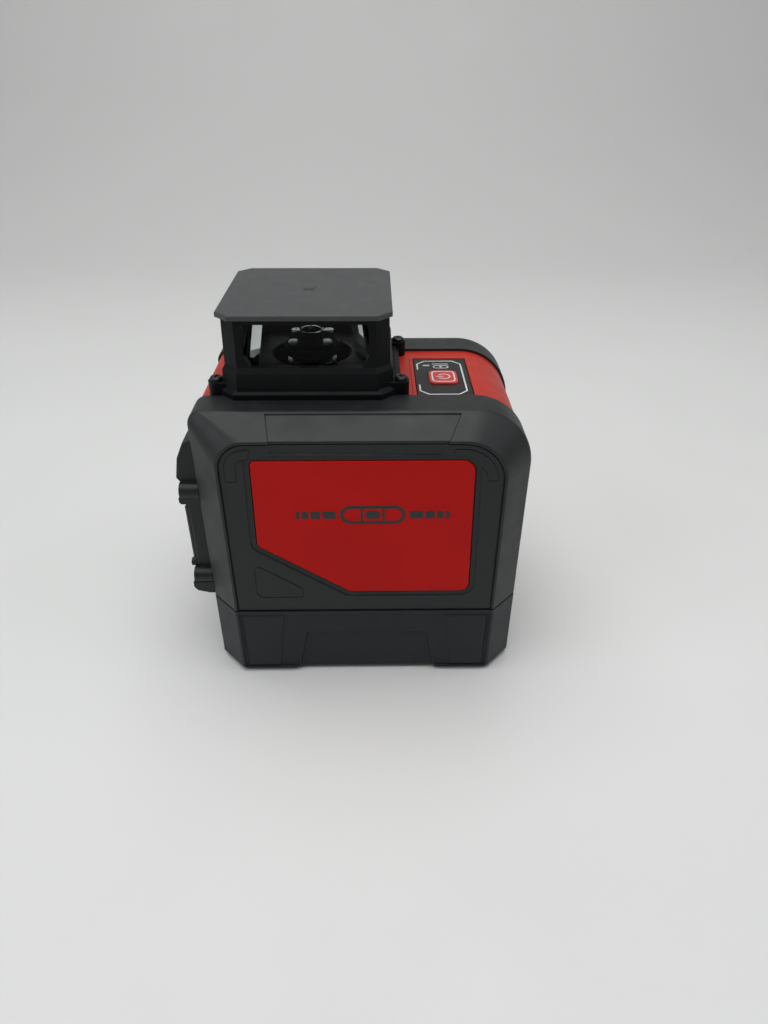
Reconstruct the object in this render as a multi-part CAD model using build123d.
from build123d import *
import math
import os

# A self-levelling line laser: a red centre housing between two grey side shells, on a base that holds
# the batteries. A windowed turret on top throws the 360 degree horizontal line and a tall window at the
# front (-X) throws the vertical one. Both lasers sit on one gimballed pendulum, which a slider locks.
# Millimetres, +Z up, the front of the instrument towards -X, origin under the middle of its outer box.

os.makedirs("parts", exist_ok=True)

# ---------------------------------------------------------------- driving dimensions
BODY_LENGTH = 114.0  # X, over the rims of the side shells
BODY_DEPTH = 87.4  # Y, over the two side panels
RIM_DEPTH = 68.0  # Y, over the rims, where the bevels start
BAND_DEPTH = 43.2  # Y, the red band between the shells
BODY_TOP = 107.7  # Z of the shells' rims
CAP_TOP = 136.8  # Z of the turret's cap
PANEL_LENGTH = 95.4  # X, the flat side panels
PANEL_TOP = 101.4
FRONT_RADIUS = 5.0  # top corners of the rims
REAR_RADIUS = 20.0
BEZEL_PROUD = 8.0  # how far the window bezel stands out at the front
KNOB_PROUD = 2.0  # how far the lock knob stands out at the rear
BAND_INSET = 1.0  # the band lies this far below the rims
TRAY = 0.5  # the side panels lie this far below their lips
WALL = 2.6
BASE_LOW = 1.8  # underside of the base between its feet
FOOT_LOW = 0.4
BASE_HIGH = 30.8
HOUSING_LOW = 31.6  # the seal fills the gap to the base
TURRET_OFFSET = -18.0  # from the middle of the body
PIVOT_Z = 92.0  # where the two gimbal axes cross
THREAD_R = 3.175  # quarter-inch tripod thread, at its major diameter
SLIDE_TRAVEL = 8.0
RAMP_SLOPE = 0.25  # plunger travel for each millimetre of slide
BUTTON_TRAVEL = 0.6
FIT = 0.04  # radial clearance of a pin that turns

# ---------------------------------------------------------------- derived places
BODY_X = (BEZEL_PROUD - KNOB_PROUD) / 2
FRONT_X = BODY_X - BODY_LENGTH / 2
REAR_X = BODY_X + BODY_LENGTH / 2
TURRET_X = BODY_X + TURRET_OFFSET
RIM_Y = RIM_DEPTH / 2
BAND_Y = BAND_DEPTH / 2
PANEL_Y = BODY_DEPTH / 2
BAND_TOP = BODY_TOP - BAND_INSET
BAND_WALL = 3.2
CEILING = BAND_TOP - BAND_WALL
BAND_REAR = REAR_X - BAND_INSET
PANEL_END = PANEL_LENGTH / 2


# ---------------------------------------------------------------- small helpers
def block(x, y, z):
    """A box from its (low, high) in x, y and z."""
    size = [high - low for low, high in (x, y, z)]
    middle = [(high + low) / 2 for low, high in (x, y, z)]
    return Pos(*middle) * Box(*size)


def rod_x(x, y, z, radius):
    """A cylinder along X from x[0] to x[1]."""
    return Pos((x[0] + x[1]) / 2, y, z) * Rot(0, 90, 0) * Cylinder(radius, x[1] - x[0])


def rod_y(x, y, z, radius):
    """A cylinder along Y from y[0] to y[1]."""
    return Pos(x, (y[0] + y[1]) / 2, z) * Rot(90, 0, 0) * Cylinder(radius, y[1] - y[0])


def rod_z(x, y, z, radius):
    """A cylinder along Z from z[0] to z[1]."""
    return Pos(x, y, (z[0] + z[1]) / 2) * Cylinder(radius, z[1] - z[0])


def corners(dx, dy, x=0.0, y=0.0):
    """The four corners of a rectangle about (x, y)."""
    return [(x + sx * dx, y + sy * dy) for sx in (-1, 1) for sy in (-1, 1)]


def fused(solids):
    """One solid from several that touch or overlap."""
    whole = solids[0]
    for solid in solids[1:]:
        whole = whole + solid
    return whole


def group(solids):
    """Separate solids that share one node."""
    return Compound(children=[s.solid() for s in solids])


def octagon(half_x, half_y, cut_x, cut_y, x=0.0):
    """A rectangle with its four corners cut off, seen from above."""
    a = half_x - cut_x
    b = half_y - cut_y
    points = [(a, -half_y), (half_x, -b), (half_x, b), (a, half_y)]
    points += [(-a, half_y), (-half_x, b), (-half_x, -b), (-a, -half_y)]
    return Pos(x, 0) * make_face(Polyline(*points, close=True))


def side_outline(end, top, r_front, r_rear, low):
    """The body seen from the side: flat at the bottom, with a round corner at each end of the top."""
    face = Pos(BODY_X, (top + low) / 2) * Rectangle(2 * end, top - low)
    face = fillet(face.vertices().group_by(Axis.Y)[-1].sort_by(Axis.X)[0], r_front)
    return fillet(face.vertices().group_by(Axis.X)[-1].sort_by(Axis.Y)[-1], r_rear)


def rim_outline(inset, low=HOUSING_LOW):
    """The shells' rim, drawn in by inset."""
    return side_outline(
        BODY_LENGTH / 2 - inset, BODY_TOP - inset, FRONT_RADIUS - inset, REAR_RADIUS - inset, low
    )


def panel_outline(inset, low=HOUSING_LOW):
    """The flat side panel, drawn in by inset."""
    return side_outline(PANEL_END - inset, PANEL_TOP - inset, 10 - inset, 15 - inset, low)


def at_side(y, face):
    """Puts a side view at the given distance from the middle, on the -Y side."""
    return Plane.XZ.offset(y) * face


def side_polygon(points):
    """A side view from (x, z) points, x from the middle of the body."""
    return make_face(Polyline(*[(BODY_X + x, z) for x, z in points], close=True))


def screw(x, y, z_seat, length, radius, head=1.9, down=True):
    """A pan-head cross-recess screw along Z whose head sits on z_seat."""
    way = -1 if down else 1
    shank = rod_z(x, y, sorted((z_seat, z_seat + way * length)), radius)
    cap = rod_z(x, y, sorted((z_seat, z_seat - way * 1.3)), head)
    cap = chamfer(cap.edges().sort_by(Axis.Z)[-1 if down else 0], 0.35)
    top = z_seat - way * 1.3
    slots = [Pos(x, y, top + way * 0.3) * Box(head * 1.2, 0.5, 0.62)]
    slots += [Pos(x, y, top + way * 0.3) * Box(0.5, head * 1.2, 0.62)]
    return shank + cap - fused(slots)


# ---------------------------------------------------------------- side shells
SHELL_WALL = 3.0
PLATE_POINTS = [(-36.4, 94.2), (36.8, 94.2), (37.9, 40.0), (-5.4, 40.0), (-37.0, 60.6)]
PLATE_RADII = [1.6, 4.2, 3.2, 2.2, 2.2]
CHANNEL_POINTS = [(-31.6, 107.9), (-29.8, 101.4), (-29.8, 96.9)]
CHANNEL_POINTS += [(25.2, 96.5), (28.0, 101.4), (32.8, 107.9)]
BASE_SCREWS = corners(44.0, 35.2, BODY_X)
BEZEL_SCREWS = [(y, z) for y in (-31.0, 31.0) for z in (76.2, 39.2)]


def rounded_polygon(points, radii, grow=0.0):
    """A side view with a radius of its own on each corner, grown by grow."""
    face = side_polygon(points)
    if grow:
        face = offset(face, grow, kind=Kind.INTERSECTION)
    for (x, z), radius in zip(points, radii):
        corner = face.vertices().sort_by_distance((BODY_X + x, z))[0]
        face = fillet(corner, radius + grow)
    return face


def plate_outline(grow):
    """The five-sided red plate, grown by grow."""
    return rounded_polygon(PLATE_POINTS, PLATE_RADII, grow)


def corner_pad(front, inset=0.0):
    """A flat grip pad that follows one top corner of the side panel."""
    width = 4.2
    border = 2.6 + inset
    outer = panel_outline(border)
    inner = panel_outline(2.6 + width - inset)
    if front:
        span = (BODY_X - PANEL_END, BODY_X - 35.6 - inset)
    else:
        span = (BODY_X + 29.6 + inset, BODY_X + PANEL_END)
    return (outer - inner) & block(span, (86.4 + inset, PANEL_TOP), (-1, 1))


def pad_groove(outline, inner_outline, depth=0.3):
    """The cutter of a narrow groove round a pad; both outlines are side views."""
    return extrude(at_side(PANEL_Y - TRAY - depth, outline - inner_outline), 2)


def upper_edges(body, y):
    """The edges in the plane at y, apart from the ones at the body's bottom."""
    edges = [e for e in body.edges() if abs(e.center().Y - y) < 0.01]
    return [e for e in edges if e.center().Z > HOUSING_LOW + 1]


def shell_envelope():
    """The outer form of the left side shell, solid."""
    rim = rim_outline(0)
    straight = extrude(at_side(BAND_Y, rim), RIM_Y - BAND_Y)
    bevel = loft([at_side(RIM_Y, rim), at_side(PANEL_Y, panel_outline(0))], ruled=True)
    body = straight + bevel
    body = fillet(upper_edges(body, -RIM_Y), 2.0)
    return fillet(upper_edges(body, -PANEL_Y), 0.5)


def shell_cavity():
    """The hollow of the left side shell, open at the bottom and towards the band."""
    low = HOUSING_LOW - 1
    rim = rim_outline(WALL, low)
    inner_y = RIM_Y - 1.2
    straight = extrude(at_side(BAND_Y - 1, rim), inner_y - BAND_Y + 1)
    panel = panel_outline(SHELL_WALL - 0.8, low)
    bevel = loft([at_side(inner_y, rim), at_side(PANEL_Y - SHELL_WALL, panel)], ruled=True)
    return straight + bevel


def left_side_shell():
    envelope = shell_envelope()
    shell = envelope - shell_cavity()
    # A wide shallow channel runs over the top bevel and onto the panel.
    channel = extrude(at_side(RIM_Y + 0.8, side_polygon(CHANNEL_POINTS)), 20)
    shell -= channel - Pos(0, 0.75, -0.1) * envelope
    # The panel lies in a shallow tray, which leaves a thin lip round it.
    panel_y = PANEL_Y - TRAY
    low = HOUSING_LOW - 1
    shell -= extrude(at_side(panel_y, panel_outline(0.8, low)), 2)
    shell -= pad_groove(panel_outline(0.8, low), panel_outline(1.35, low), 0.7)
    # The plate's pocket, with a stepped border.
    shell -= extrude(at_side(panel_y - 0.45, plate_outline(2.3)), 2)
    shell -= extrude(at_side(panel_y - 1.5, plate_outline(0.3)), 3)
    # Grooves outline a pad in each top corner and one under the plate's slope.
    for front in (True, False):
        shell -= pad_groove(corner_pad(front), corner_pad(front, 0.55))
    low_pad = [(-39.2, 53.2), (-39.2, 37.2), (-21.8, 37.2), (-21.8, 41.6)]
    radii = [1.8, 3.0, 1.8, 1.8]
    shell -= pad_groove(rounded_polygon(low_pad, radii), rounded_polygon(low_pad, radii, -0.55))
    # Screw bosses for the base, each tied to the wall by a rib.
    for x, y in BASE_SCREWS:
        if y < 0:
            boss = rod_z(x, y, (HOUSING_LOW, HOUSING_LOW + 16), 4.0)
            rib = block((x - 1.2, x + 1.2), (-PANEL_Y + 2.0, y), (HOUSING_LOW, HOUSING_LOW + 13))
            shell += boss + rib
            shell -= rod_z(x, y, (HOUSING_LOW - 1, HOUSING_LOW + 13), 1.5)
    # Bosses for the front bezel's screws.
    for y, z in BEZEL_SCREWS:
        if y < 0:
            shell += rod_x((FRONT_X + 1, FRONT_X + 7), y, z, 2.8)
            shell -= rod_x((FRONT_X - 1, FRONT_X + 5), y, z, 1.2)
    return shell


def left_plate():
    """The glossy red plate let into the side shell."""
    seat = PANEL_Y - TRAY - 1.5
    plate = extrude(at_side(seat, plate_outline(0)), 1.6)
    outer = plate.faces().sort_by(Axis.Y)[0]
    return fillet(outer.edges(), 0.6)


# ---------------------------------------------------------------- red centre housing
PANEL_X = (BODY_X + 18.4, BODY_X + 38.2)
CONTROL_Y = (-BAND_Y, 13.2)
BUTTON_X = BODY_X + 28.6
BUTTON_Y = -5.3
BUTTON_SIZE = (10.2, 11.4)
LED_PLACE = (BODY_X + 23.2, 6.4)
LED_SIZE = (2.6, 1.1)
CONTROL_PCB_Z = 96.0
CONTROL_BOSSES = corners(10.6, 13.4, BODY_X + 28.3, -3.0)
CHASSIS_SCREWS = corners(20.5, 15.5, TURRET_X)
TURRET_LUGS = corners(31.0, 18.7, TURRET_X)
SLOT_Z = (35.0, 39.8)
WINDOW_Y = 15.0
WINDOW_Z = (46.0, 70.0)


def band_solid(inset, half_depth, low):
    """The band's outer form, drawn in by inset."""
    end = BODY_LENGTH / 2 - BAND_INSET - inset
    top = BAND_TOP - inset
    face = side_outline(
        end, top, FRONT_RADIUS - BAND_INSET - inset, REAR_RADIUS - BAND_INSET - inset, low
    )
    return extrude(at_side(-half_depth, face), 2 * half_depth)


def centre_housing():
    body = band_solid(0, BAND_Y, HOUSING_LOW)
    # Lips that reach inside the side shells and line them up.
    lip = band_solid(WALL - BAND_INSET + 0.15, BAND_Y + 3, HOUSING_LOW)
    body += lip
    body -= band_solid(BAND_WALL, BAND_Y + 4, HOUSING_LOW - 1)
    # Control panel seat, with a raised rim on three sides.
    rim_x = (PANEL_X[0] - 1.1, PANEL_X[1] + 1.1)
    rim = block(rim_x, (-BAND_Y, CONTROL_Y[1] + 1.1), (BAND_TOP - 1, BAND_TOP + 0.35))
    body += fillet(rim.edges().filter_by(Axis.Z).group_by(Axis.Y)[-1], 1.2)
    body -= block(PANEL_X, (-BAND_Y - 1, CONTROL_Y[1]), (BAND_TOP - 1.0, BAND_TOP + 1))
    for bx, by in CONTROL_BOSSES:
        body += rod_z(bx, by, (CONTROL_PCB_Z + 1.6, CEILING + 0.5), 2.2)
        body -= rod_z(bx, by, (CONTROL_PCB_Z, CEILING - 0.5), 1.0)
    body -= block(
        (BUTTON_X - BUTTON_SIZE[0] / 2 - 0.3, BUTTON_X + BUTTON_SIZE[0] / 2 + 0.3),
        (BUTTON_Y - BUTTON_SIZE[1] / 2 - 0.3, BUTTON_Y + BUTTON_SIZE[1] / 2 + 0.3),
        (CEILING - 1, BAND_TOP + 1),
    )
    body -= Pos(*LED_PLACE, BAND_TOP) * Box(LED_SIZE[0] + 0.3, LED_SIZE[1] + 0.3, 12)
    # Turret opening, chassis bosses and the holes of the turret's screws.
    body -= rod_z(TURRET_X, 0, (CEILING - 1, BAND_TOP + 1), 16.5)
    for cx, cy in CHASSIS_SCREWS:
        body += rod_z(cx, cy, (CEILING - 1.1, CEILING + 0.5), 3.2)
        body -= rod_z(cx, cy, (CEILING - 2, CEILING + 1.4), 1.2)
    for lx, ly in TURRET_LUGS:
        body += rod_z(lx, ly, (CEILING - 3.5, CEILING + 0.5), 2.4) & band_solid(0.2, BAND_Y, HOUSING_LOW)
        body -= rod_z(lx, ly, (CEILING - 2.5, BODY_TOP), 1.2)
    # Front window and the slot of the lock knob.
    body -= block((FRONT_X - 1, FRONT_X + 8), (-WINDOW_Y, WINDOW_Y), WINDOW_Z)
    body -= block((REAR_X - 8, REAR_X + 1), (-9.5, 9.5), SLOT_Z)
    return body


# ---------------------------------------------------------------- base, deck, seal, feet
BASE_CUT = ((BODY_LENGTH - PANEL_LENGTH) / 2, PANEL_Y - RIM_Y)
TRIPOD_R = 9.0
TRIPOD_TOP = 15.0
DOOR_Y = 31.0
DOOR_Z = (7.8, 27.4)
HINGE_X = REAR_X - 2.0
HINGE_Z = 7.0
DECK_Z = (28.2, 30.2)
FOOT_X = (26.8, BODY_LENGTH / 2)
FOOT_Y = (18.0, PANEL_Y)
PAD_CENTRES = corners(37.0, 26.0, BODY_X)
YOKE_LEGS = corners(10.0, 14.5, TURRET_X)
PCB_POSTS = corners(19.0, 15.5, BODY_X + 28.0)
PCB_Z = 44.0


def base_plan(inset):
    """The base seen from above, drawn in by inset."""
    cut_x = BASE_CUT[0] - inset * 0.41
    cut_y = BASE_CUT[1] - inset * 0.41
    return octagon(BODY_LENGTH / 2 - inset, PANEL_Y - inset, cut_x, cut_y, BODY_X)


def side_recess(points, depth, draft=0.8):
    """A tapered recess in the base's left side, from (x, z) points at the surface."""
    mouth = side_polygon(points)
    floor = offset(mouth, -draft, kind=Kind.INTERSECTION)
    return loft([at_side(PANEL_Y + 0.01, mouth), at_side(PANEL_Y - depth, floor)], ruled=True)


PAD_POINTS = [(-45.2, 27.8), (-30.6, 27.8), (-33.4, 4.0), (-45.0, 4.0)]


def raised_pad(points):
    """A pad with sloping edges that stands out to the base's full width."""
    top = side_polygon(points)
    foot = offset(top, 0.7, kind=Kind.INTERSECTION)
    return loft([at_side(PANEL_Y - 0.6, foot), at_side(PANEL_Y + 0.1, top)], ruled=True)


def base():
    outer = Pos(0, 0, BASE_LOW) * extrude(base_plan(0), BASE_HIGH - BASE_LOW)
    outer = fillet(outer.edges().filter_by(Axis.Z), 1.2)
    outer = chamfer(outer.edges().group_by(Axis.Z)[0], 0.7)
    feet_plan = Pos(0, 0, FOOT_LOW) * extrude(base_plan(1.0), BASE_LOW + 0.6 - FOOT_LOW)
    for sx in (-1, 1):
        for sy in (-1, 1):
            x = sorted((BODY_X + sx * FOOT_X[0], BODY_X + sx * FOOT_X[1]))
            y = sorted((sy * FOOT_Y[0], sy * FOOT_Y[1]))
            foot = feet_plan & block(x, y, (FOOT_LOW, BASE_LOW + 0.6))
            outer += chamfer(foot.edges().group_by(Axis.Z)[0], 0.5)
    outer -= Pos(0, 0, BASE_LOW + WALL) * extrude(base_plan(WALL), BASE_HIGH)
    # Both sides lie a little deeper than their pads, and a wide recess spans the middle.
    side_x = (BODY_X - PANEL_END + 0.9, BODY_X + PANEL_END - 0.9)
    side_cut = block(side_x, (-PANEL_Y - 1, -PANEL_Y + 0.6), (2.6, 29.8))
    pads = [raised_pad(PAD_POINTS), raised_pad([(-x, z) for x, z in PAD_POINTS])]
    recess = side_recess([(-22.4, 20.6), (23.4, 20.6), (27.6, 0.0), (-26.6, 0.0)], 1.5, 1.0)
    cut = side_cut - pads[0] - pads[1] + recess
    outer = outer - cut - mirror(cut, about=Plane.XZ)
    # Bosses: tripod insert, base screws and the feet of the pads.
    outer += rod_z(TURRET_X, 0, (BASE_LOW, TRIPOD_TOP), TRIPOD_R + 2.5)
    outer -= rod_z(TURRET_X, 0, (BASE_LOW - 1, TRIPOD_TOP - 2), TRIPOD_R)
    outer -= rod_z(TURRET_X, 0, (TRIPOD_TOP - 3, TRIPOD_TOP + 1), THREAD_R + 1)
    for x, y in BASE_SCREWS:
        outer += rod_z(x, y, (BASE_LOW + 1, DECK_Z[0]), 4.0)
        outer -= rod_z(x, y, (0, 5.0), 3.0)
        outer -= rod_z(x, y, (0, DECK_Z[0] + 1), 1.8)
    for x, y in PAD_CENTRES:
        outer -= Pos(x, y, FOOT_LOW) * Box(16.2, 9.2, 1.0)
    # Battery door opening, with room for the door's hinge barrel.
    outer -= block((REAR_X - WALL - 1, REAR_X + 1), (-DOOR_Y, DOOR_Y), DOOR_Z)
    outer -= rod_y(HINGE_X, (-DOOR_Y, DOOR_Y), HINGE_Z, 2.6)
    outer -= block((HINGE_X, REAR_X + 1), (-DOOR_Y, DOOR_Y), (HINGE_Z - 2.6, DOOR_Z[0] + 1))
    outer -= rod_y(HINGE_X, (-DOOR_Y - 1.6, DOOR_Y + 1.6), HINGE_Z, 0.9)
    # Thumb scoop over the door.
    outer -= Pos(REAR_X + 4.6, 0, DOOR_Z[1]) * Sphere(6.2)
    # Rails that the battery tray stands on.
    for y in (-20.0, 20.0):
        outer += block((BODY_X, REAR_X - 8), (y - 1.2, y + 1.2), (BASE_LOW + WALL - 0.2, 8.6))
    return outer


def base_deck():
    """The plate that closes the battery bay and carries the lock slider and the yoke."""
    deck = Pos(0, 0, DECK_Z[0]) * extrude(base_plan(WALL + 0.15), DECK_Z[1] - DECK_Z[0])
    for x, y in BASE_SCREWS:
        deck -= rod_z(x, y, (DECK_Z[0] - 1, DECK_Z[1] + 1), 1.8)
    for x, y in YOKE_LEGS + PCB_POSTS:
        deck -= rod_z(x, y, (DECK_Z[0] - 1, DECK_Z[1] + 1), 1.0)
    for y in LEAD_YS:
        deck -= rod_z(LEAD_X, y, (DECK_Z[0] - 1, DECK_Z[1] + 1), 1.5)
    return deck


def base_seal():
    """The black rubber cord in the parting line."""
    ring = base_plan(1.1) - base_plan(2.3)
    return Pos(0, 0, BASE_HIGH) * extrude(ring, HOUSING_LOW - BASE_HIGH)


def foot_pads():
    pads = []
    for x, y in PAD_CENTRES:
        pad = Pos(x, y, 0.45) * Box(16.0, 9.0, 0.9)
        pads.append(fillet(pad.edges().filter_by(Axis.Z), 1.5))
    return group(pads)


def tripod_insert():
    """Flanged metal insert with the tripod thread, cut here at its major diameter."""
    body = rod_z(TURRET_X, 0, (BASE_LOW, TRIPOD_TOP - 2), TRIPOD_R)
    body -= rod_z(TURRET_X, 0, (BASE_LOW - 1, TRIPOD_TOP - 1), THREAD_R)
    mouth = body.faces().sort_by(Axis.Z)[0].edges().sort_by(SortBy.RADIUS)[0]
    return chamfer(mouth, 0.5)


def base_screws():
    screws = []
    for x, y in BASE_SCREWS:
        screws.append(screw(x, y, 5.0, 36.0, 1.5, head=2.6, down=False))
    return group(screws)


# ---------------------------------------------------------------- batteries and their door
CELL_R = 7.15
CELL_Z = 8.6 + 1.3 + CELL_R + 0.1
CELL_X = (BODY_X + 0.4, BODY_X + 50.4)
CELL_PITCH = 14.9
CELL_YS = [CELL_PITCH * (i - 1.5) for i in range(4)]
LEAD_X = BODY_X - 5.5
LEAD_YS = (23.0, 26.5)


def battery_tray():
    tray = block((BODY_X - 3.4, BODY_X + 53.4), (-30.6, 30.6), (8.6, 21.0))
    tray = fillet(tray.edges().filter_by(Axis.Z), 1.0)
    for y in CELL_YS:
        tray -= block((CELL_X[0] - 2.0, CELL_X[1] + 2.0), (y - 7.0, y + 7.0), (CELL_Z, 22))
        tray -= rod_x((CELL_X[0] - 2.0, CELL_X[1] + 2.0), y, CELL_Z, CELL_R + 0.15)
    # A pull tab's notch in the inner end.
    tray -= block((BODY_X - 4, BODY_X - 2), (-4, 4), (17, 22))
    return tray


def aa_cells():
    cells = []
    for i, y in enumerate(CELL_YS):
        way = 1 if i % 2 else -1
        middle = (CELL_X[0] + CELL_X[1]) / 2
        half = (CELL_X[1] - CELL_X[0]) / 2
        can = rod_x((middle - half + 0.5, middle + half - 0.5), y, CELL_Z, CELL_R)
        can = fillet(can.edges(), 0.7)
        nub = rod_x(sorted((middle + way * (half - 1), middle + way * (half + 0.5))), y, CELL_Z, 2.6)
        cells.append(can + nub)
    return group(cells)


def battery_contacts():
    """A sprung plate at each cell's flat end, a plain one at its other end, and two solder tabs."""
    contacts = []
    spring_length = 1.3
    for i, y in enumerate(CELL_YS):
        for x in (CELL_X[0] - 1.9, CELL_X[1] + 1.5):
            contacts.append(block((x, x + 0.4), (y - 5, y + 5), (CELL_Z - 4.5, CELL_Z + 4.5)))
        if i % 2:
            place = Pos(CELL_X[0] - 1.15, y, CELL_Z) * Rot(0, 90, 0)
        else:
            place = Pos(CELL_X[1] + 1.15, y, CELL_Z) * Rot(0, -90, 0)
        coil = Helix(pitch=0.85, height=spring_length, radius=3.6, cone_angle=-28)
        wire = Plane(origin=coil @ 0, z_dir=coil % 0) * Circle(0.3)
        contacts.append(place * sweep(wire, path=coil, is_frenet=True))
    for y in LEAD_YS:
        contacts.append(block((LEAD_X - 1, BODY_X - 3.4), (y - 1.2, y + 1.2), (15.0, 15.6)))
    return group(contacts)


def battery_door():
    y_span = (-DOOR_Y + 0.35, DOOR_Y - 0.35)
    door = block((REAR_X - 2.4, REAR_X), y_span, (DOOR_Z[0] + 0.6, DOOR_Z[1] - 0.35))
    door = fillet(door.edges().filter_by(Axis.Y).group_by(Axis.X)[-1], 0.4)
    for k in range(5):
        z = 12.0 + 2.4 * k
        door -= block((REAR_X - 0.5, REAR_X + 1), (-13, 13), (z, z + 1.1))
    for y in ((-28.0, -8.0), (8.0, 28.0)):
        barrel = rod_y(HINGE_X, y, HINGE_Z, 1.8)
        web = block((HINGE_X - 0.4, HINGE_X + 1.3), y, (HINGE_Z, DOOR_Z[0] + 1.2))
        door += barrel + web
    door += block((REAR_X - 4.2, REAR_X - 2.3), (-7, 7), (DOOR_Z[1] - 3.4, DOOR_Z[1] - 2.2))
    door -= rod_y(HINGE_X, (-DOOR_Y, DOOR_Y), HINGE_Z, 0.9 + FIT)
    return door


def door_pin():
    return rod_y(HINGE_X, (-DOOR_Y - 1.5, DOOR_Y + 1.5), HINGE_Z, 0.9)


def battery_leads():
    """Two insulated wires from the battery bay up to the main board."""
    leads = []
    for y in LEAD_YS:
        points = [(LEAD_X, y, 15.6), (LEAD_X, y, 36.0), (LEAD_X + 2, y - 3, 44.0)]
        points += [(BODY_X + 2, y - 7, 52.0), (BODY_X + 15.5, y - 9, 52.0)]
        points.append((BODY_X + 15.5, y - 9, PCB_Z + 1.65))
        path = FilletPolyline(*points, radius=[10, 10, 4.5, 2.9])
        ring = Plane(origin=path @ 0, z_dir=path % 0) * Circle(0.7)
        leads.append(sweep(ring, path=path))
    return group(leads)


# ---------------------------------------------------------------- turret
TOWER_LOW = BODY_TOP
FLANGE_TOP = 110.9
FLOOR_TOP = 115.0
SILL_Z = 118.1
TOWER_TOP = 134.2
HEAD_Z = 132.4
INSIDE_HALF = (24.4, 21.2)
GLASS_OUTER = [(23.4, 20.4, 3.2), (20.2, 17.2, 2.6)]  # half X, half Y and corner cut, low and high
GLASS_INNER = [(20.2, 18.0, 3.5), (17.2, 14.8, 3.5)]


def turret_window(half, along_x):
    """A cutter for the windows in two facing walls, with its lower corners cut off."""
    cut = 2.4
    rise = 3.8
    points = [(-half + cut, SILL_Z), (half - cut, SILL_Z), (half, SILL_Z + rise), (half, HEAD_Z - 0.8)]
    points += [(half - 0.8, HEAD_Z), (-half + 0.8, HEAD_Z), (-half, HEAD_Z - 0.8), (-half, SILL_Z + rise)]
    if along_x:
        plane = Plane(origin=(TURRET_X, 0, 0), x_dir=(0, 1, 0), z_dir=(1, 0, 0))
    else:
        plane = Plane(origin=(TURRET_X, 0, 0), x_dir=(1, 0, 0), z_dir=(0, -1, 0))
    return extrude(plane * make_face(Polyline(*points, close=True)), 40, both=True)


def turret_frame():
    """Flange, skirt and window frame of the turret, in one moulding."""
    plan = octagon(31.2, 25.8, 6.6, 6.6, TURRET_X)
    flange = Pos(0, 0, BODY_TOP) * extrude(plan, FLANGE_TOP - BODY_TOP)
    flange = chamfer(flange.edges().group_by(Axis.Z)[-1], 1.3)
    low = Pos(0, 0, FLANGE_TOP - 1) * octagon(28.6, 25.0, 5.2, 4.6, TURRET_X)
    shoulder = Pos(0, 0, SILL_Z - 1.6) * octagon(28.3, 24.8, 5.2, 4.6, TURRET_X)
    sill = Pos(0, 0, SILL_Z) * octagon(27.4, 23.7, 4.6, 4.0, TURRET_X)
    high = Pos(0, 0, TOWER_TOP) * octagon(27.0, 23.4, 4.4, 3.8, TURRET_X)
    tower = loft([low, shoulder], ruled=True) + loft([shoulder, sill], ruled=True)
    tower += loft([sill, high], ruled=True)
    frame = flange + tower
    for x, y in TURRET_LUGS:
        way = 1 if x > TURRET_X else -1
        lug = rod_z(x, y, (BAND_TOP, BODY_TOP + 4.4), 2.8)
        lug += block(sorted((x, x - way * 4)), (y - 2.8, y + 2.8), (BAND_TOP, BODY_TOP + 4.4))
        frame += lug
    inside = octagon(*INSIDE_HALF, 4.0, 4.0, TURRET_X)
    frame -= Pos(0, 0, FLOOR_TOP) * extrude(inside, 40)
    # The raised floor is hollow underneath, apart from a collar round the pendulum's opening.
    plan = octagon(24.0, 18.6, 4.0, 4.0, TURRET_X)
    below = Pos(0, 0, BODY_TOP - 1) * extrude(plan, FLOOR_TOP - BODY_TOP - 1.4)
    frame -= below - rod_z(TURRET_X, 0, (BODY_TOP - 2, FLOOR_TOP), 16.2)
    frame -= rod_z(TURRET_X, 0, (BODY_TOP - 1, FLOOR_TOP + 1), 14.0)
    frame -= turret_window(17.0, True)
    frame -= turret_window(20.3, False)
    for x, y in TURRET_LUGS:
        frame -= rod_z(x, y, (BODY_TOP - 8, BODY_TOP + 6), 1.3)
    return frame


def turret_glass():
    """One clear hood with leaning sides, which closes all four windows."""
    rings = []
    for low, high in (GLASS_OUTER, GLASS_INNER):
        foot = Pos(0, 0, FLOOR_TOP) * octagon(low[0], low[1], low[2], low[2], TURRET_X)
        top = Pos(0, 0, TOWER_TOP) * octagon(high[0], high[1], high[2], high[2], TURRET_X)
        rings.append(loft([foot, top], ruled=True))
    return rings[0] - rings[1]


def turret_cap():
    lip = Pos(0, 0, CAP_TOP - 1.7) * extrude(octagon(27.9, 27.9, 4.4, 4.4, TURRET_X), 1.7)
    lip = fillet(lip.edges().group_by(Axis.Z)[-1], 0.5)
    low = Pos(0, 0, TOWER_TOP) * octagon(27.0, 25.4, 4.0, 4.0, TURRET_X)
    high = Pos(0, 0, CAP_TOP - 1.7) * octagon(27.7, 27.7, 4.4, 4.4, TURRET_X)
    return lip + loft([low, high], ruled=True)


def turret_gasket():
    """Black rubber between the flange and the recessed band."""
    pad = Pos(0, 0, BAND_TOP - 6) * extrude(octagon(30.4, BAND_Y - 0.1, 6, 6, TURRET_X), 6 + BAND_INSET)
    pad -= band_solid(0, BAND_Y + 1, HOUSING_LOW)
    pad -= rod_z(TURRET_X, 0, (90, BODY_TOP + 1), 16.5)
    for x, y in TURRET_LUGS:
        pad -= block((x - 4.4, x + 4.4), (y - 3.3, y + 3.3), (95, BODY_TOP + 1))
    return pad


def turret_screws():
    return group([screw(x, y, BODY_TOP + 4.4, 9.0, 1.1, head=2.1) for x, y in TURRET_LUGS])


# ---------------------------------------------------------------- front window bezel
BEZEL_Y = 30.2
BEZEL_SEAT = 5.2


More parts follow.
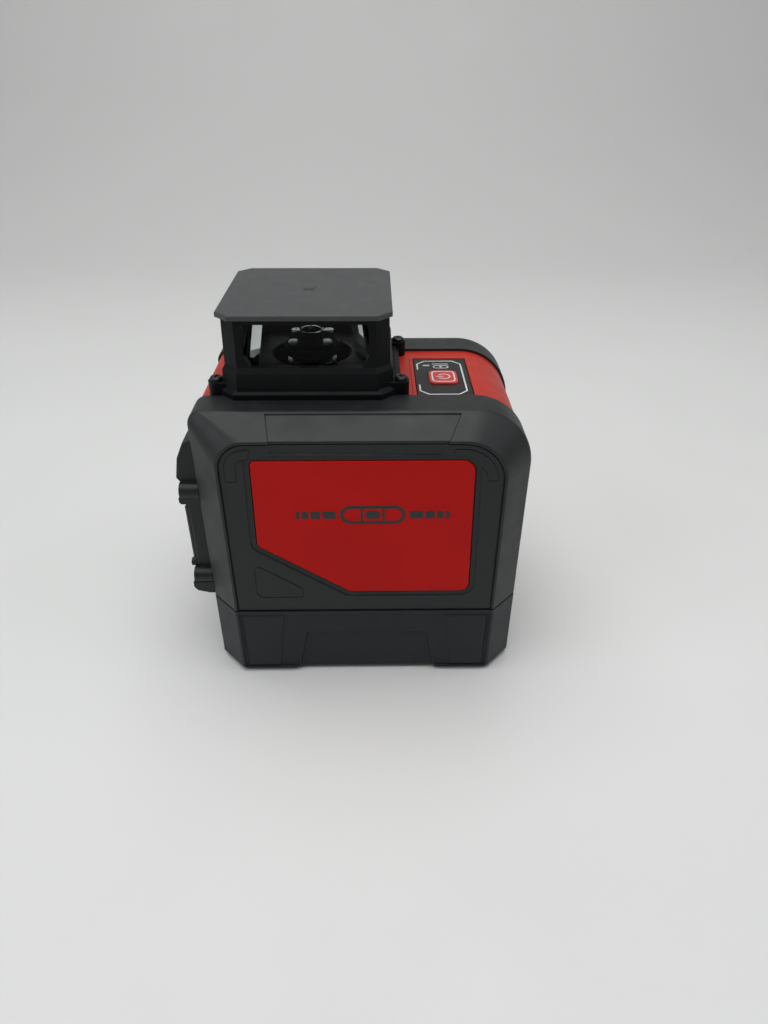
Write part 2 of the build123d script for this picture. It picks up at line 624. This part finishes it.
def bezel_slice(points, y_low, y_high):
    """A slice of the bezel between two y values, from (x, z) points with x from the shells' front."""
    face = make_face(Polyline(*[(FRONT_X + x, z) for x, z in points], close=True))
    return extrude(at_side(-y_high, face), y_high - y_low)


def front_bezel():
    brow = [(0, 32.6), (0, 95.4), (-1.6, 95.0), (-4.0, 94.0), (-6.6, 88.3), (-BEZEL_PROUD, 80.6)]
    brow += [(-7.1, 79.2), (-5.6, 78.6), (-5.6, 35.6), (-3.8, 32.6)]
    body = bezel_slice(brow, -BEZEL_Y, BEZEL_Y)
    edges = [e for e in body.edges() if abs(abs(e.center().Y) - BEZEL_Y) < 0.01]
    body = chamfer([e for e in edges if e.center().X < FRONT_X - 4], 0.4)
    # A raised frame round the window, with a small boss at each corner.
    ridge = block((FRONT_X - 7.1, FRONT_X - 1), (-29.6, 29.6), (44.6, 68.6))
    body += chamfer(ridge.edges().group_by(Axis.X)[0], 0.6)
    for y, z in corners(28.5, 13.7, 0, 56.9):
        body += rod_x((FRONT_X - BEZEL_PROUD, FRONT_X - 1), y, z, 1.6)
    # Each corner has a screw lug with a step under it, and the lower steps slope back to the shells.
    step = [(0, 71.8), (0, 74.2), (-7.4, 74.2), (-7.4, 72.6), (-6.6, 71.8)]
    foot = [(0, 31.8), (0, 36.8), (-7.6, 36.8), (-7.6, 34.6), (-6.4, 33.0), (-1.9, 31.8)]
    for low, high in ((-33.4, -28.6), (28.6, 33.4)):
        body += bezel_slice(step, low, high)
        body += bezel_slice(foot, low, high)
    for y, z in BEZEL_SCREWS:
        body += rod_x((FRONT_X - 6.8, FRONT_X), y, z, 3.1)
    # The window, its glass seat behind, and a dished surround in front.
    body -= block((FRONT_X - 9, FRONT_X + 1), (-12.0, 12.0), (49.0, 67.0))
    body -= block((FRONT_X - 2.6, FRONT_X + 1), (-14.2, 14.2), (46.8, 69.2))
    mouth = Pos(0, 56.6) * Rectangle(46, 20.6)
    throat = Pos(0, 58.0) * Rectangle(26, 19)
    place = Plane(origin=(FRONT_X - 7.1, 0, 0), x_dir=(0, 1, 0), z_dir=(1, 0, 0))
    body -= loft([place.offset(-0.01) * mouth, place.offset(2.4) * throat], ruled=True)
    # Recessed screw seats.
    for y, z in BEZEL_SCREWS:
        body -= rod_x((FRONT_X - 9, FRONT_X + 1), y, z, 1.3)
        body -= rod_x((FRONT_X - 9, FRONT_X - BEZEL_SEAT), y, z, 2.45)
    return body


def front_glass():
    glass = block((FRONT_X - 2.5, FRONT_X - 1.0), (-14.0, 14.0), (47.0, 69.0))
    return fillet(glass.edges().filter_by(Axis.X), 1.5)


def front_gasket():
    """Rubber frame between the bezel and the recessed band."""
    pad = block((FRONT_X, FRONT_X + BAND_INSET), (-BAND_Y + 0.1, BAND_Y - 0.1), (36.0, 90.0))
    pad -= block((FRONT_X - 1, FRONT_X + 2), (-WINDOW_Y, WINDOW_Y), WINDOW_Z)
    return pad


def front_bezel_screws():
    screws = []
    seat = FRONT_X - BEZEL_SEAT
    for y, z in BEZEL_SCREWS:
        upright = screw(0, 0, 0, 9.0, 1.1, head=2.3)
        screws.append(Pos(seat, y, z) * Rot(0, -90, 0) * upright)
    return group(screws)


# ---------------------------------------------------------------- controls
def control_panel():
    x_span = (PANEL_X[0] + 0.15, PANEL_X[1] - 0.15)
    y_span = (-BAND_Y + 0.1, CONTROL_Y[1] - 0.15)
    plate = block(x_span, y_span, (BAND_TOP - 1.0, BAND_TOP + 0.2))
    plate = chamfer(plate.edges().group_by(Axis.Z)[-1], 0.25)
    hole = Pos(BUTTON_X, BUTTON_Y, BAND_TOP) * Box(BUTTON_SIZE[0] + 0.6, BUTTON_SIZE[1] + 0.6, 4)
    plate -= fillet(hole.edges().filter_by(Axis.Z), 2.4)
    plate -= Pos(*LED_PLACE, BAND_TOP) * Box(LED_SIZE[0] + 0.1, LED_SIZE[1] + 0.1, 4)
    return plate


def power_button():
    top = BAND_TOP + 0.2 + BUTTON_TRAVEL
    key = Pos(BUTTON_X, BUTTON_Y, (CEILING - 0.6 + top) / 2) * Box(*BUTTON_SIZE, top - CEILING + 0.6)
    key = fillet(key.edges().filter_by(Axis.Z), 2.2)
    key = fillet(key.edges().group_by(Axis.Z)[-1], 0.4)
    flange = Pos(BUTTON_X, BUTTON_Y, CEILING - 0.8) * Box(BUTTON_SIZE[0] + 2, BUTTON_SIZE[1] + 2, 1.0)
    stem = rod_z(BUTTON_X, BUTTON_Y, (CONTROL_PCB_Z + 1.6 + 4.1, CEILING - 0.5), 2.4)
    return key + flange + stem


def status_led():
    pipe = Pos(*LED_PLACE, 0) * Box(*LED_SIZE, 1)
    height = BAND_TOP + 0.25 - CONTROL_PCB_Z - 1.6
    pipe = Pos(*LED_PLACE, CONTROL_PCB_Z + 1.6 + height / 2) * Box(*LED_SIZE, height)
    return fillet(pipe.edges().filter_by(Axis.Z), 0.5)


def control_pcb():
    x = BODY_X + 28.3
    board = block((x - 13.2, x + 13.2), (-19.2, 13.2), (CONTROL_PCB_Z, CONTROL_PCB_Z + 1.6))
    for bx, by in CONTROL_BOSSES:
        board -= rod_z(bx, by, (CONTROL_PCB_Z - 1, CONTROL_PCB_Z + 3), 1.2)
    return board


def power_switch():
    """The tactile switch under the power button."""
    z = CONTROL_PCB_Z + 1.6
    body = Pos(BUTTON_X, BUTTON_Y, z + 1.3) * Box(6, 6, 2.6)
    body = chamfer(body.edges().group_by(Axis.Z)[-1], 0.3)
    return body + rod_z(BUTTON_X, BUTTON_Y, (z + 2.5, z + 3.2), 1.7)


def control_screws():
    return group(
        [screw(x, y, CONTROL_PCB_Z, 5.2, 0.95, head=1.8, down=False) for x, y in CONTROL_BOSSES]
    )


def main_pcb():
    x = BODY_X + 28.0
    board = block((x - 22.5, x + 22.5), (-19.0, 19.0), (PCB_Z, PCB_Z + 1.6))
    board = fillet(board.edges().filter_by(Axis.Z), 1.5)
    for px, py in PCB_POSTS:
        board -= rod_z(px, py, (PCB_Z - 1, PCB_Z + 3), 1.3)
    return board


def pcb_components():
    """Controller, driver, choke, capacitors and connectors on the main board."""
    x = BODY_X + 28.0
    z = PCB_Z + 1.6
    parts = [Pos(x, -2, z + 0.8) * Box(9, 9, 1.6), Pos(x + 13, 6, z + 0.7) * Box(5, 4, 1.4)]
    parts += [rod_z(x - 13, -9, (z, z + 8), 3.1), rod_z(x - 13, 0, (z, z + 8), 3.1)]
    parts += [Pos(x + 12, -8, z + 2.0) * Box(7, 7, 4.0), Pos(x, 11.5, z + 2.5) * Box(10, 5, 5)]
    parts += [Pos(x - 6 + 3 * k, -13, z + 0.4) * Box(1.6, 0.8, 0.8) for k in range(5)]
    return group(parts)


def pcb_standoffs():
    posts = []
    for x, y in PCB_POSTS:
        post = rod_z(x, y, (DECK_Z[1], PCB_Z), 2.4) + rod_z(x, y, (DECK_Z[0] + 0.2, DECK_Z[1] + 1), 1.0)
        posts.append(post - rod_z(x, y, (PCB_Z - 6, PCB_Z + 1), 1.15))
    return group(posts)


# ---------------------------------------------------------------- gimbal
RING_R = (12.0, 16.0)
RING_Z = (PIVOT_Z - 3.7, PIVOT_Z + 3.7)
PIN_R = 1.5
BEARING_X = (17.3, 19.9)
BEARING_R = 3.6
INNER_BEARING_Y = (12.7, 15.3)
INNER_BEARING_R = 3.0


def gimbal_chassis():
    """Plate under the housing's ceiling, with two uprights that hold the outer bearings."""
    x, top = TURRET_X, CEILING - 1.1
    body = block((x - 24.5, x + 24.5), (-19.5, 19.5), (top - 2.4, top))
    body = fillet(body.edges().filter_by(Axis.Z), 2.0)
    body -= rod_z(x, 0, (top - 5, top + 1), 14.5)
    for way in (-1, 1):
        span = sorted((x + way * BEARING_X[0], x + way * (BEARING_X[1] + 1.2)))
        seat = sorted((x + way * (BEARING_X[0] - 1), x + way * BEARING_X[1]))
        upright = block(span, (-6, 6), (PIVOT_Z - 5.6, top - 1))
        upright -= rod_x(seat, 0, PIVOT_Z, BEARING_R)
        body += upright
    for cx, cy in CHASSIS_SCREWS:
        body -= rod_z(cx, cy, (top - 5, top + 1), 1.4)
    return body


def chassis_screws():
    z = CEILING - 1.1 - 2.4
    return group([screw(x, y, z, 4.6, 1.15, head=2.0, down=False) for x, y in CHASSIS_SCREWS])


def bearing(place, width, radius):
    """A plain-bodied ball bearing: two races with a shield between them, in one solid."""
    outer = Cylinder(radius, width) - Cylinder(PIN_R + FIT, width + 2)
    groove = Cylinder(radius - 0.7, width + 2) - Cylinder(PIN_R + 0.7, width + 4)
    for side in (-1, 1):
        outer -= groove & (Pos(0, 0, side * width / 2) * Box(20, 20, 0.5))
    return place * outer


def outer_bearings():
    middle = sum(BEARING_X) / 2
    width = BEARING_X[1] - BEARING_X[0]
    places = [Pos(TURRET_X + way * middle, 0, PIVOT_Z) * Rot(0, 90, 0) for way in (-1, 1)]
    return group([bearing(place, width, BEARING_R) for place in places])


def inner_bearings():
    middle = sum(INNER_BEARING_Y) / 2
    width = INNER_BEARING_Y[1] - INNER_BEARING_Y[0]
    places = [Pos(TURRET_X, way * middle, PIVOT_Z) * Rot(90, 0, 0) for way in (-1, 1)]
    return group([bearing(place, width, INNER_BEARING_R) for place in places])


def gimbal_ring():
    ring = rod_z(TURRET_X, 0, RING_Z, RING_R[1])
    ring -= rod_z(TURRET_X, 0, (RING_Z[0] - 1, RING_Z[1] + 1), RING_R[0])
    for way in (-1, 1):
        seat = sorted((way * INNER_BEARING_Y[0], way * INNER_BEARING_Y[1]))
        ring -= rod_y(TURRET_X, seat, PIVOT_Z, INNER_BEARING_R)
        ring -= rod_y(TURRET_X, sorted((way * 11, way * 17)), PIVOT_Z, PIN_R + 0.6)
        ring -= rod_x(sorted((TURRET_X + way * 11, TURRET_X + way * 17)), 0, PIVOT_Z, PIN_R)
    return ring


def outer_pins():
    spans = [sorted((TURRET_X + way * 13.0, TURRET_X + way * 19.6)) for way in (-1, 1)]
    return group([rod_x(span, 0, PIVOT_Z, PIN_R) for span in spans])


def inner_pins():
    spans = [sorted((way * 6.2, way * 15.2)) for way in (-1, 1)]
    return group([rod_y(TURRET_X, span, PIVOT_Z, PIN_R) for span in spans])


# ---------------------------------------------------------------- pendulum
BLOCK_R = 8.6
BLOCK_Z = (58.0, 113.0)
MODULE_R = 4.6
FRONT_BEAM_Z = 66.0
WEIGHT_Z = (46.5, 58.0)
DAMPER_Z = (43.5, 46.5)
DISC_Z = (115.6, 118.2)
DISC_R = 9.9
HEAD_TOP = 119.9
HEAD_HALF = (7.9, 7.8)
HEAD_SCREWS = corners(5.8, 5.7, TURRET_X)
COLLAR_TOP = 123.2
CONE_TOP = 131.0


def laser_block():
    """Aluminium body of the pendulum, which holds both laser modules."""
    x = TURRET_X
    body = rod_z(x, 0, BLOCK_Z, BLOCK_R)
    boss = block((x - 13, x + 2), (-7.4, 7.4), (FRONT_BEAM_Z - 7.6, FRONT_BEAM_Z + 7.4))
    body += fillet(boss.edges().filter_by(Axis.X), 1.5)
    body -= rod_z(x, 0, (76, BLOCK_Z[1] + 1), MODULE_R)
    body -= rod_x((x - 14, x + 4), 0, FRONT_BEAM_Z, MODULE_R)
    for way in (-1, 1):
        body -= rod_y(x, sorted((way * 6.2, way * 12)), PIVOT_Z, PIN_R)
    return body


def up_laser_module():
    body = rod_z(TURRET_X, 0, (76, 112.6), MODULE_R)
    body = chamfer(body.edges().group_by(Axis.Z)[-1], 0.5)
    return body - rod_z(TURRET_X, 0, (110, 114), 2.6)


def front_laser_module():
    body = rod_x((TURRET_X - 23, TURRET_X + 4), 0, FRONT_BEAM_Z, MODULE_R)
    body = chamfer(body.edges().group_by(Axis.X)[0], 0.5)
    body -= rod_x((TURRET_X - 24, TURRET_X - 18), 0, FRONT_BEAM_Z, 2.6)
    return body - rod_y(TURRET_X - 22, (-3.4, 3.4), FRONT_BEAM_Z, 1.6)


def line_lens():
    """The glass rod that spreads the front beam into a vertical line."""
    return rod_y(TURRET_X - 22, (-3.4, 3.4), FRONT_BEAM_Z, 1.6)


def head_plate():
    """Black moulding on the block: a wide disc, a neck and the plate that carries the cone."""
    x = TURRET_X
    body = rod_z(x, 0, (BLOCK_Z[1], HEAD_TOP - 1), 7.2)
    body += chamfer(rod_z(x, 0, DISC_Z, DISC_R).edges().group_by(Axis.Z)[-1], 0.5)
    plate = Pos(0, 0, HEAD_TOP - 2.4) * extrude(octagon(*HEAD_HALF, 2.0, 2.0, x), 2.4)
    body += chamfer(plate.edges().group_by(Axis.Z)[-1], 0.4)
    body += rod_z(x, 0, (HEAD_TOP - 1, COLLAR_TOP), 3.8)
    body -= rod_z(x, 0, (BLOCK_Z[1] - 1, COLLAR_TOP + 1), 3.0)
    for sx, sy in HEAD_SCREWS:
        body -= rod_z(sx, sy, (HEAD_TOP - 2.6, HEAD_TOP + 1), 0.9)
    return body


def head_screws():
    return group([screw(x, y, HEAD_TOP, 2.4, 0.9, head=1.8) for x, y in HEAD_SCREWS])


def cone_glass():
    outer = rod_z(TURRET_X, 0, (COLLAR_TOP, CONE_TOP), 4.4)
    return outer - rod_z(TURRET_X, 0, (COLLAR_TOP - 1, CONE_TOP + 1), 3.5)


def cone_mirror():
    """Inverted cone that turns the upward beam into a level plane of light."""
    return Pos(TURRET_X, 0, CONE_TOP - 3.5) * Cone(0.05, 3.4, 7.0)


def cone_cap():
    cap = rod_z(TURRET_X, 0, (CONE_TOP, CONE_TOP + 1.4), 4.6)
    return fillet(cap.edges().group_by(Axis.Z)[-1], 0.4)


def counterweight():
    body = rod_z(TURRET_X, 0, WEIGHT_Z, 11.0)
    body = chamfer(body.edges(), 0.6)
    for way in (-1, 1):
        body -= rod_y(TURRET_X, sorted((way * 4, way * 12)), 52.0, 1.5)
    return body - rod_x((TURRET_X + 4, TURRET_X + 12), 0, 52.0, 1.5)


def damping_plate():
    plate = rod_z(TURRET_X, 0, DAMPER_Z, 14.0)
    return chamfer(plate.edges(), 0.4)


def trim_screws():
    """Grub screws that set the plumb of the pendulum."""
    screws = [rod_y(TURRET_X, sorted((way * 5, way * 10.6)), 52.0, 1.5) for way in (-1, 1)]
    screws.append(rod_x((TURRET_X + 5, TURRET_X + 10.6), 0, 52.0, 1.5))
    return group(screws)


# ---------------------------------------------------------------- damping and lock
YOKE_Z = (37.2, 38.6)
MAGNET_TOP = 41.4
PLUNGER_TOP = 42.6
PLUNGER_R = 3.0
RAMP_GAP = 0.3
SLIDER_Z = (30.5, 32.0)
RAMP_Y = (-11.2, 3.4)


def ramp_height(y):
    """Height of the slider's ramp over y when the lock is on."""
    return SLIDER_Z[1] + RAMP_SLOPE * (y - RAMP_Y[0])


def magnet_yoke():
    plate = block((TURRET_X - 13.2, TURRET_X + 13.2), (-17.4, 17.4), YOKE_Z)
    plate = fillet(plate.edges().filter_by(Axis.Z), 2.4)
    plate -= rod_z(TURRET_X, 0, (YOKE_Z[0] - 1, YOKE_Z[1] + 1), PLUNGER_R + FIT)
    for x, y in YOKE_LEGS:
        plate += rod_z(x, y, (DECK_Z[1], YOKE_Z[0] + 0.2), 2.2)
        plate -= rod_z(x, y, (DECK_Z[1] - 1, YOKE_Z[1] + 1), 1.1)
    return plate


def damping_magnets():
    magnets = []
    for x, y in corners(8.2, 7.8, TURRET_X):
        disc = rod_z(x, y, (YOKE_Z[1], MAGNET_TOP), 3.9)
        magnets.append(chamfer(disc.edges(), 0.25))
    return group(magnets)


def deck_screws():
    """The screws that hold the yoke's legs and the board's posts on the deck."""
    screws = [screw(x, y, YOKE_Z[1], 10.2, 0.95, head=2.0) for x, y in YOKE_LEGS]
    screws += [screw(x, y, PCB_Z + 1.6, 6.0, 1.1, head=2.2) for x, y in PCB_POSTS]
    return group(screws)


def lock_plunger():
    body = rod_z(TURRET_X, 0, (DECK_Z[1], PLUNGER_TOP - 1.0), PLUNGER_R)
    y_low, y_high = -6.0, 6.0
    below = [(y_low, 20.0), (y_high, 20.0)]
    below += [(y_high, ramp_height(y_high) + RAMP_GAP), (y_low, ramp_height(y_low) + RAMP_GAP)]
    plane = Plane(origin=(TURRET_X, 0, 0), x_dir=(0, 1, 0), z_dir=(1, 0, 0))
    return body - extrude(plane * make_face(Polyline(*below, close=True)), 8, both=True)


def lock_pad():
    pad = rod_z(TURRET_X, 0, (PLUNGER_TOP - 1.0, PLUNGER_TOP), PLUNGER_R)
    return fillet(pad.edges().group_by(Axis.Z)[-1], 0.3)


def lock_slider():
    """Knob, neck, bar and ramp in one moulding; it is drawn with the lock on."""
    knob_y = -SLIDE_TRAVEL / 2
    bar = block((TURRET_X - 5, REAR_X - 4.5), (RAMP_Y[0], RAMP_Y[1]), SLIDER_Z)
    plane = Plane(origin=(TURRET_X, 0, 0), x_dir=(0, 1, 0), z_dir=(1, 0, 0))
    wedge = [(RAMP_Y[0], SLIDER_Z[0]), (RAMP_Y[1], SLIDER_Z[0]), (RAMP_Y[1], ramp_height(RAMP_Y[1]))]
    wedge.append((RAMP_Y[0], SLIDER_Z[1]))
    ramp = extrude(plane * make_face(Polyline(*wedge, close=True)), 4.4, both=True)
    riser = block((REAR_X - 8.0, REAR_X - 4.5), (knob_y - 5, knob_y + 5), (SLIDER_Z[0], SLOT_Z[1] - 0.4))
    neck = block((REAR_X - 5, REAR_X - 0.6), (knob_y - 5, knob_y + 5), (SLOT_Z[0] + 0.4, SLOT_Z[1] - 0.4))
    knob = block((REAR_X - 0.7, REAR_X + KNOB_PROUD), (knob_y - 6, knob_y + 6), (33.4, 41.4))
    knob = fillet(knob.edges().filter_by(Axis.X), 1.6)
    knob = chamfer(knob.faces().sort_by(Axis.X)[-1].edges(), 0.5)
    for k in range(5):
        y = knob_y - 4 + 2 * k
        knob -= block((REAR_X + KNOB_PROUD - 0.7, REAR_X + KNOB_PROUD + 1), (y - 0.45, y + 0.45), (34.6, 40.2))
    # A wide shutter behind the slot keeps it closed at both ends of the travel.
    shutter_y = (knob_y - 13.8, knob_y + 13.8)
    shutter_z = (SLIDER_Z[0], SLOT_Z[1] + 1.6)
    shutter = block((REAR_X - 5.4, REAR_X - 4.6), shutter_y, shutter_z)
    return bar + ramp + riser + neck + shutter + knob


# ---------------------------------------------------------------- write every node
NODES = {
    "centre_housing": centre_housing(),
    "left_side_shell": left_side_shell(),
    "left_plate": left_plate(),
    "base": base(),
    "base_deck": base_deck(),
    "base_seal": base_seal(),
    "foot_pads": foot_pads(),
    "tripod_insert": tripod_insert(),
    "base_screws": base_screws(),
    "battery_tray": battery_tray(),
    "aa_cells": aa_cells(),
    "battery_contacts": battery_contacts(),
    "battery_door": battery_door(),
    "door_pin": door_pin(),
    "battery_leads": battery_leads(),
    "turret_frame": turret_frame(),
    "turret_glass": turret_glass(),
    "turret_cap": turret_cap(),
    "turret_gasket": turret_gasket(),
    "turret_screws": turret_screws(),
    "front_bezel": front_bezel(),
    "front_glass": front_glass(),
    "front_gasket": front_gasket(),
    "front_bezel_screws": front_bezel_screws(),
    "control_panel": control_panel(),
    "power_button": power_button(),
    "status_led": status_led(),
    "control_pcb": control_pcb(),
    "power_switch": power_switch(),
    "control_screws": control_screws(),
    "main_pcb": main_pcb(),
    "pcb_components": pcb_components(),
    "pcb_standoffs": pcb_standoffs(),
    "gimbal_chassis": gimbal_chassis(),
    "chassis_screws": chassis_screws(),
    "outer_bearings": outer_bearings(),
    "inner_bearings": inner_bearings(),
    "gimbal_ring": gimbal_ring(),
    "outer_pins": outer_pins(),
    "inner_pins": inner_pins(),
    "laser_block": laser_block(),
    "up_laser_module": up_laser_module(),
    "front_laser_module": front_laser_module(),
    "line_lens": line_lens(),
    "head_plate": head_plate(),
    "head_screws": head_screws(),
    "cone_glass": cone_glass(),
    "cone_mirror": cone_mirror(),
    "cone_cap": cone_cap(),
    "counterweight": counterweight(),
    "damping_plate": damping_plate(),
    "trim_screws": trim_screws(),
    "magnet_yoke": magnet_yoke(),
    "damping_magnets": damping_magnets(),
    "deck_screws": deck_screws(),
    "lock_plunger": lock_plunger(),
    "lock_pad": lock_pad(),
    "lock_slider": lock_slider(),
}
NODES["right_side_shell"] = mirror(NODES["left_side_shell"], about=Plane.XZ)
NODES["right_plate"] = mirror(NODES["left_plate"], about=Plane.XZ)

for name, shape in NODES.items():
    export_step(shape, f"parts/{name}.step")
